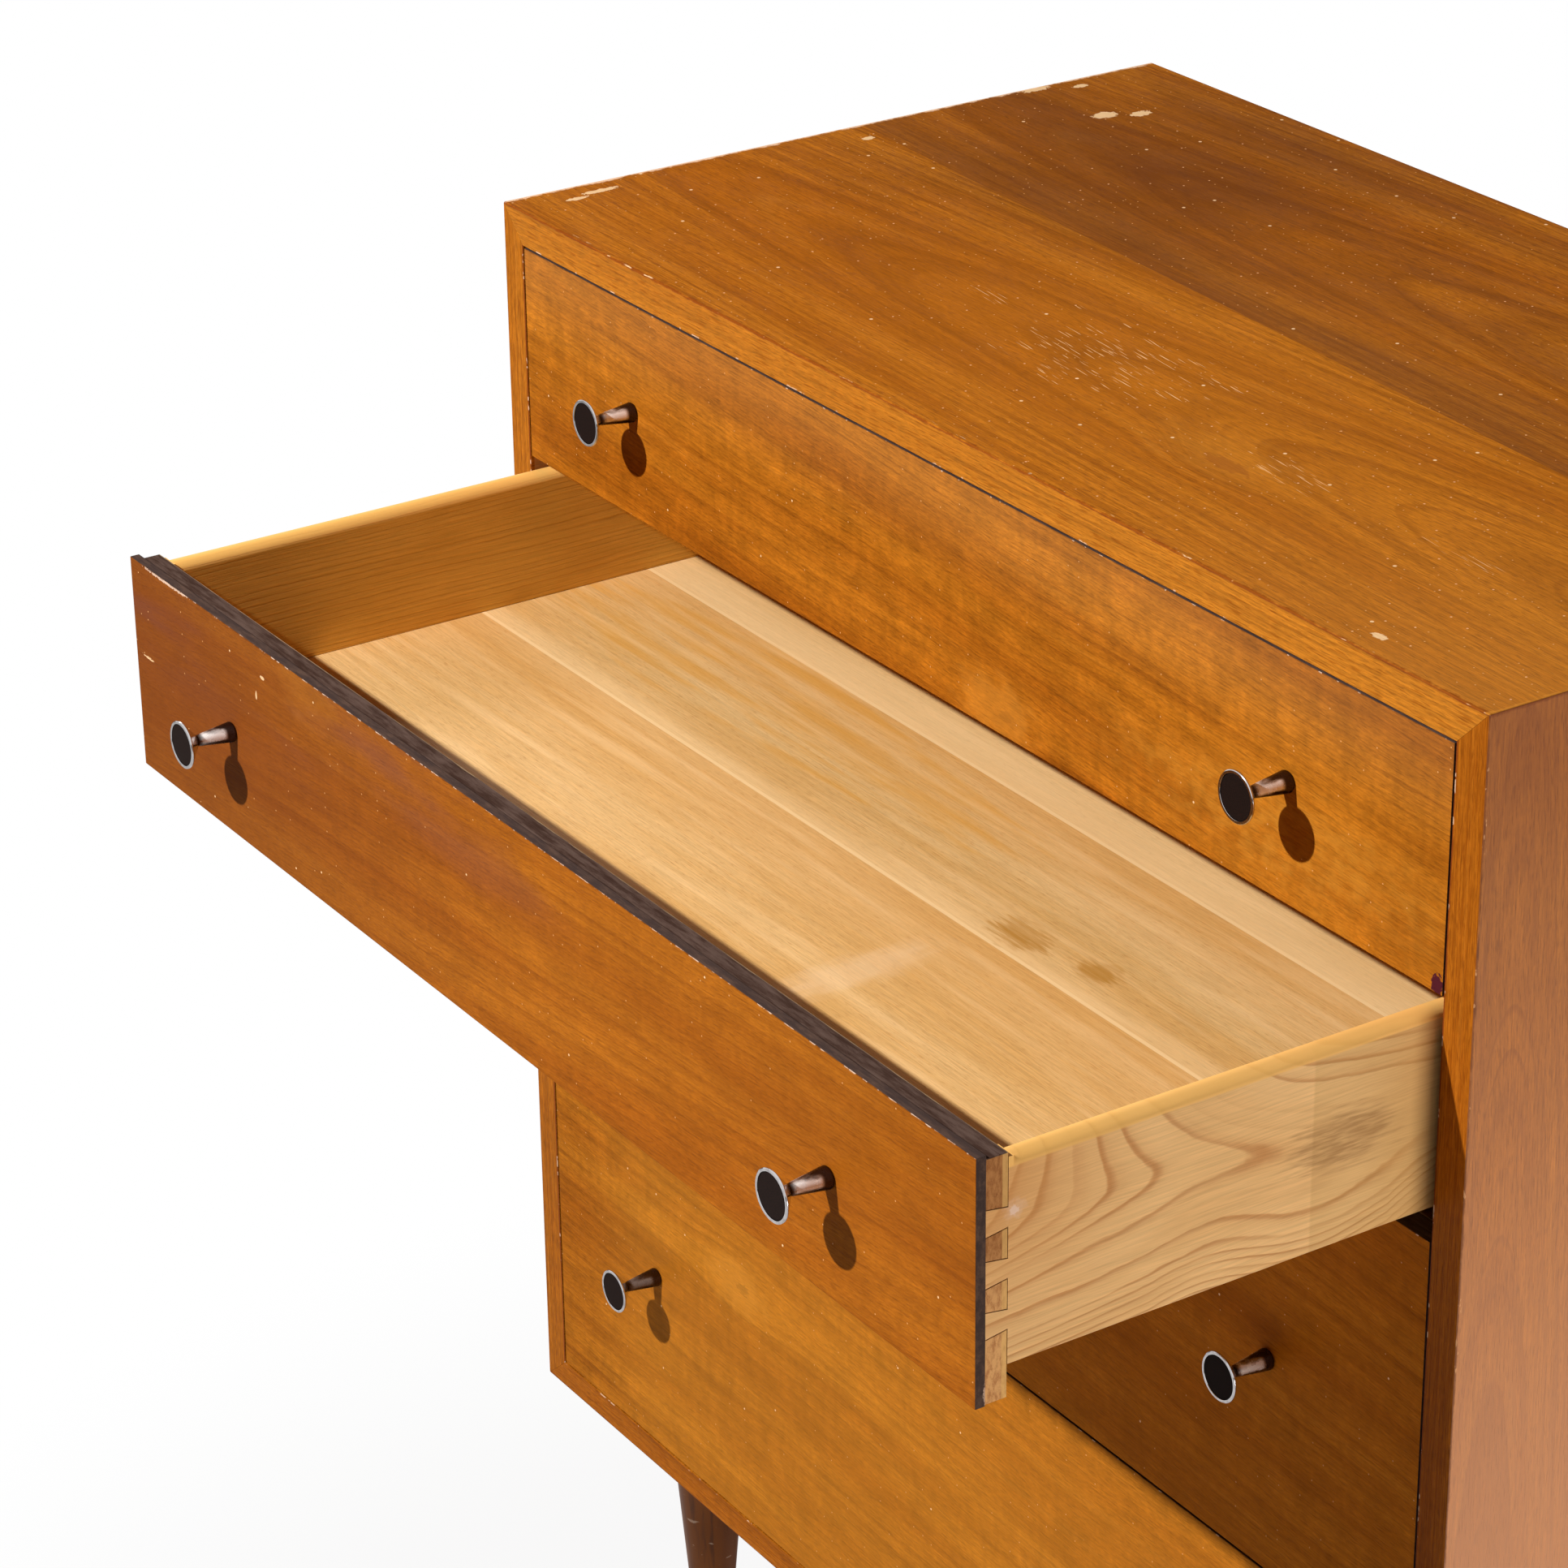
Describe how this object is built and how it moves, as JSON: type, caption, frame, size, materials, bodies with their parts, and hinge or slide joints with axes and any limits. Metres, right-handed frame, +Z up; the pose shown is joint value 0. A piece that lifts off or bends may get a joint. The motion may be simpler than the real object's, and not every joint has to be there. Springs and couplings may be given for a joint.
{
  "type": "highboy",
  "caption": "Mitred wooden case on tapered round legs, with full-width drawers that slide out; dovetailed drawer boxes and small metal knobs with black faces",
  "frame": {"origin": "on the floor, under the middle of the box that holds the part at rest, with the second drawer open", "axes": "+X to the right as seen from the front, +Y from the front to the back, +Z up; the drawers open towards -Y"},
  "size_m": [0.914, 0.8, 0.9997],
  "materials": {
    "walnut": "oiled walnut veneer",
    "side_walnut": "oiled walnut veneer, pinkish",
    "drawer_walnut": "oiled walnut veneer",
    "dark_edge": "edges painted dark",
    "drawer_wood": "clear sealed",
    "plywood": "clear sealed",
    "frame_wood": "unfinished",
    "back_board": "stained",
    "leg_wood": "dark stain, satin",
    "steel": "plated",
    "chrome": "polished",
    "black": "smooth"
  },
  "bodies": {
    "case": {"top_panel": "walnut", "bottom_panel": "walnut", "left_side_panel": "side_walnut", "right_side_panel": "side_walnut", "back_panel": "back_board", "drawer_frame_1": "frame_wood", "drawer_frame_2": "frame_wood", "drawer_frame_3": "frame_wood", "drawer_frame_4": "frame_wood", "leg_front_left": "leg_wood", "leg_plate_front_left": "steel", "leg_front_right": "leg_wood", "leg_plate_front_right": "steel", "leg_rear_left": "leg_wood", "leg_plate_rear_left": "steel", "leg_rear_right": "leg_wood", "leg_plate_rear_right": "steel"},
    "drawer_1": {"drawer_1_face": "drawer_walnut", "drawer_1_subfront": "dark_edge", "drawer_1_left_side": "drawer_wood", "drawer_1_right_side": "drawer_wood", "drawer_1_back": "drawer_wood", "drawer_1_bottom": "plywood", "knob_1_left": "chrome", "knob_1_left_insert": "black", "knob_1_right": "chrome", "knob_1_right_insert": "black"},
    "drawer_2": {"drawer_2_face": "drawer_walnut", "drawer_2_subfront": "dark_edge", "drawer_2_left_side": "drawer_wood", "drawer_2_right_side": "drawer_wood", "drawer_2_back": "drawer_wood", "drawer_2_bottom": "plywood", "knob_2_left": "chrome", "knob_2_left_insert": "black", "knob_2_right": "chrome", "knob_2_right_insert": "black"},
    "drawer_3": {"drawer_3_face": "drawer_walnut", "drawer_3_subfront": "dark_edge", "drawer_3_left_side": "drawer_wood", "drawer_3_right_side": "drawer_wood", "drawer_3_back": "drawer_wood", "drawer_3_bottom": "plywood", "knob_3_left": "chrome", "knob_3_left_insert": "black", "knob_3_right": "chrome", "knob_3_right_insert": "black"},
    "drawer_4": {"drawer_4_face": "drawer_walnut", "drawer_4_subfront": "dark_edge", "drawer_4_left_side": "drawer_wood", "drawer_4_right_side": "drawer_wood", "drawer_4_back": "drawer_wood", "drawer_4_bottom": "plywood", "knob_4_left": "chrome", "knob_4_left_insert": "black", "knob_4_right": "chrome", "knob_4_right_insert": "black"}
  },
  "joints": [
    {"name": "drawer_1_slide", "type": "slide", "parent": "case", "child": "drawer_1", "axis": [0, -1, 0], "range_m": [0, 0.35]},
    {"name": "drawer_2_slide", "type": "slide", "parent": "case", "child": "drawer_2", "axis": [0, -1, 0], "range_m": [-0.275, 0.075]},
    {"name": "drawer_3_slide", "type": "slide", "parent": "case", "child": "drawer_3", "axis": [0, -1, 0], "range_m": [0, 0.35]},
    {"name": "drawer_4_slide", "type": "slide", "parent": "case", "child": "drawer_4", "axis": [0, -1, 0], "range_m": [0, 0.35]}
  ]
}
